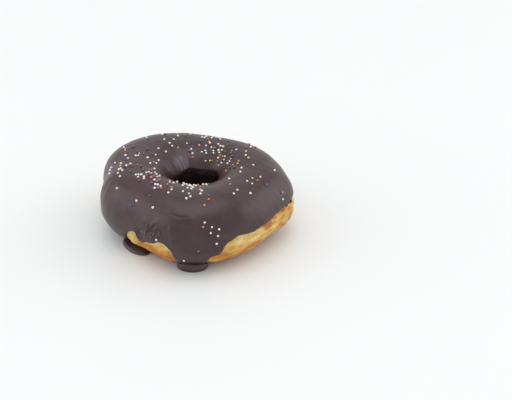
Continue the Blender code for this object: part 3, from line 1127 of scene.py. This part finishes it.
DOUGH_CREAM = (0.76, 0.58, 0.27, 1.0)
DOUGH_PALE = (0.66, 0.41, 0.10, 1.0)
DOUGH_GOLD = (0.51, 0.205, 0.026, 1.0)
DOUGH_FRIED = (0.37, 0.095, 0.010, 1.0)
DOUGH_GRAIN = (0.80, 0.58, 0.22, 1.0)
DOUGH_BUMP = 0.0006
STREAK_SCALE = (1.0, 1.0, 3.2)
CRUMB_GLOW = {
    "Subsurface Weight": 0.08, "Subsurface Radius": (0.003, 0.0015, 0.0008), "Subsurface Scale": 0.5,
}


def dough_look():
    """Soft fried crust that goes from cream through gold to brown, in streaks and blotches."""
    look = Look("fried_dough")
    streaks = look.noise(150.0, 4.0, 0.6, look.stretched(STREAK_SCALE))
    grain = look.noise(620.0, 4.0, 0.6)
    blotches = look.noise(230.0, 3.0, 0.6)
    uneven = look.sum(look.sum(streaks, 0.5, "SUBTRACT"), look.sum(blotches, 0.5, "SUBTRACT"))
    brown = look.sum(look.attribute("browning"), look.scaled(uneven, 0.7))
    colour = look.mix(look.spread(brown, 0.0, 0.30), DOUGH_CREAM, DOUGH_PALE)
    colour = look.mix(look.spread(brown, 0.26, 0.62), colour, DOUGH_GOLD)
    colour = look.mix(look.spread(brown, 0.60, 1.15), colour, DOUGH_FRIED)
    colour = look.mix(look.spread(grain, 0.58, 0.75, 0.0, 0.16), colour, DOUGH_GRAIN)
    sheen = look.spread(streaks, 0.3, 0.7, 0.50, 0.66)
    pores = look.noise(420.0, 5.0, 0.62)
    look.bump(look.sum(pores, look.scaled(streaks, 0.8)), DOUGH_BUMP)
    for name, value in CRUMB_GLOW.items():
        look.shader.inputs[name].default_value = value
    return look.set(Base_Color=colour, Roughness=sheen)


SPRINKLE_COLOURS = {
    "white": (0.94, 0.93, 0.91), "pink": (0.60, 0.20, 0.28), "red": (0.42, 0.06, 0.06),
    "orange": (0.68, 0.28, 0.11), "yellow": (0.74, 0.62, 0.17), "green": (0.09, 0.22, 0.09),
    "blue": (0.09, 0.15, 0.34), "purple": (0.20, 0.13, 0.30),
}
SPRINKLE_CLOUDED = (0.86, 0.86, 0.86)
SPRINKLE_DULLED = (0.62, 0.50, 0.48)
DULLED_SHARE = 0.75
WHITE_DULLED_SHARE = 0.30
SPRINKLE_BUMP = 0.00005


def tinted(colour, shares):
    return tuple(share * channel for share, channel in zip(shares, colour)) + (1.0,)


def sprinkle_look(name):
    """Sugar shell of one colour, clouded, and duller on some of the balls."""
    look = Look(name + "_sugar")
    colour = SPRINKLE_COLOURS[name]
    dulling = WHITE_DULLED_SHARE if name == "white" else DULLED_SHARE
    clouds = look.noise(1500.0, 3.0, 0.6)
    shell = look.mix(look.spread(clouds, 0.3, 0.7), tinted(colour, SPRINKLE_CLOUDED), colour + (1.0,))
    dulled = look.spread(look.attribute("tone"), 0.45, 1.0, 0.0, dulling)
    shell = look.mix(dulled, shell, tinted(colour, SPRINKLE_DULLED))
    sheen = look.spread(clouds, 0.3, 0.7, 0.30, 0.46)
    look.bump(look.noise(5200.0, 3.0, 0.6), SPRINKLE_BUMP)
    return look.set(Base_Color=shell, Roughness=sheen)


def dress(piece, material, *nodes, slot):
    """Give a piece its material, its body and the part's solids it stands for; the slot is not used."""
    piece.data.materials.append(material)
    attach(piece, "root")
    if nodes:
        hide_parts(*nodes)


# ---------------------------------------------------------------- studio

FLOOR_SIZE = 6.0
FLOOR_LEVEL = -0.00005
FLOOR_COLOURS = ((0.78, 0.80, 0.80, 1.0), (0.81, 0.83, 0.83, 1.0))
FLOOR_ROUGHNESS = 0.5
ROOM_BRIGHTNESS = 0.88
Lamp = namedtuple("Lamp", "name place size power")
LAMPS = (
    Lamp("overhead", (-0.05, 0.00, 1.50), 1.3, 5.0),
    Lamp("left", (-1.20, 0.00, 0.55), 1.2, 3.5),
    Lamp("right", (1.20, 0.20, 0.50), 1.2, 4.0),
)
CAMERA_PLACE = (-0.00094, -0.46784, 0.28580)
CAMERA_TILT = 59.94
CAMERA_PAN = -3.81
CAMERA_ROLL = 0.83
CAMERA_LENS = 73.86
CAMERA_SENSOR = 36.0


def build_studio():
    """Pale floor, even white room, three soft lamps and the camera."""
    bpy.ops.mesh.primitive_plane_add(size=FLOOR_SIZE, location=(0.0, 0.0, FLOOR_LEVEL))
    floor = bpy.context.object
    floor.name = "floor"
    look = Look("pale_floor")
    shade = look.mix(look.noise(3.0), *FLOOR_COLOURS)
    floor.data.materials.append(look.set(Base_Color=shade, Roughness=FLOOR_ROUGHNESS))

    world = bpy.data.worlds.new("soft_room")
    world.use_nodes = True
    sky = world.node_tree.nodes["Background"]
    sky.inputs["Color"].default_value = (1.0, 1.0, 1.0, 1.0)
    sky.inputs["Strength"].default_value = ROOM_BRIGHTNESS
    bpy.context.scene.world = world

    for lamp in LAMPS:
        data = bpy.data.lights.new(lamp.name, "AREA")
        data.shape = "DISK"
        data.size = lamp.size
        data.energy = lamp.power
        light = bpy.data.objects.new(lamp.name, data)
        light.location = lamp.place
        light.rotation_euler = Vector(lamp.place).to_track_quat("Z", "Y").to_euler()
        bpy.context.collection.objects.link(light)

    camera = bpy.data.objects.new("camera", bpy.data.cameras.new("camera"))
    camera.data.lens = CAMERA_LENS
    camera.data.sensor_width = CAMERA_SENSOR
    camera.data.clip_start = 0.01
    camera.matrix_world = (
        Matrix.Translation(CAMERA_PLACE)
        @ Matrix.Rotation(math.radians(CAMERA_PAN), 4, "Z")
        @ Matrix.Rotation(math.radians(CAMERA_TILT), 4, "X")
        @ Matrix.Rotation(math.radians(CAMERA_ROLL), 4, "Z")
    )
    bpy.context.collection.objects.link(camera)
    bpy.context.scene.camera = camera
    bpy.context.scene.view_settings.view_transform = "Standard"


outer_edge = edge_line(edge_turn)
throat_edge = edge_line(throat_edge_turn)
dress(build_dough(outer_edge, throat_edge), dough_look(), "dough_ring", slot="fried_dough")
dress(build_icing(outer_edge, throat_edge), icing_look("chocolate_icing", 0.0), "chocolate_icing",
      slot="chocolate_icing")
# A paler copy of the icing, as painted light, for the puddles and the tears.
puddle_icing_painted_light = icing_look("puddle_icing_painted_light", PUDDLE_PAINTED_LIGHT)
dress(build_puddles(), puddle_icing_painted_light, slot="chocolate_icing")
dress(build_tears(), puddle_icing_painted_light, slot="chocolate_icing")
for name, piece in build_sprinkles().items():
    dress(piece, sprinkle_look(name), slot=name + "_sprinkle")
build_studio()
